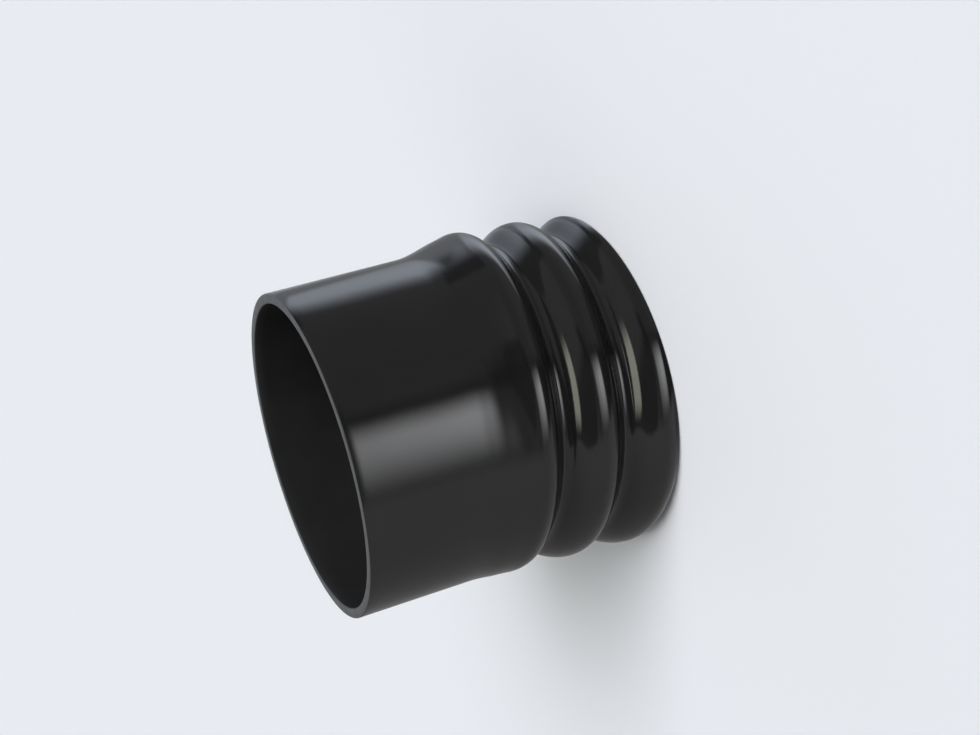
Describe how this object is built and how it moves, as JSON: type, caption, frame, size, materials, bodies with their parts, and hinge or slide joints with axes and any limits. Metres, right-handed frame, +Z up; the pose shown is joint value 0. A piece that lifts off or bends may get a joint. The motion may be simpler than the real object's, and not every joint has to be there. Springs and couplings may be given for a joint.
{
  "type": "hose cuff",
  "caption": "Soft one-piece cuff with a plain open sleeve at one end and a fat screw thread for a ribbed hose at the other.",
  "frame": {"origin": "centre of the trimmed, threaded end, on the sleeve's axis, at the surface that the cuff stands on", "axes": "+Z up the sleeve's axis, from the threaded end to the open sleeve; X and Y across it, with the thread starting 18 degrees past +Y"},
  "size_m": [0.1146, 0.1133, 0.1035],
  "materials": {
    "black_vinyl": "gloss"
  },
  "bodies": {
    "root": {"hose_cuff": "black_vinyl"}
  },
  "joints": []
}
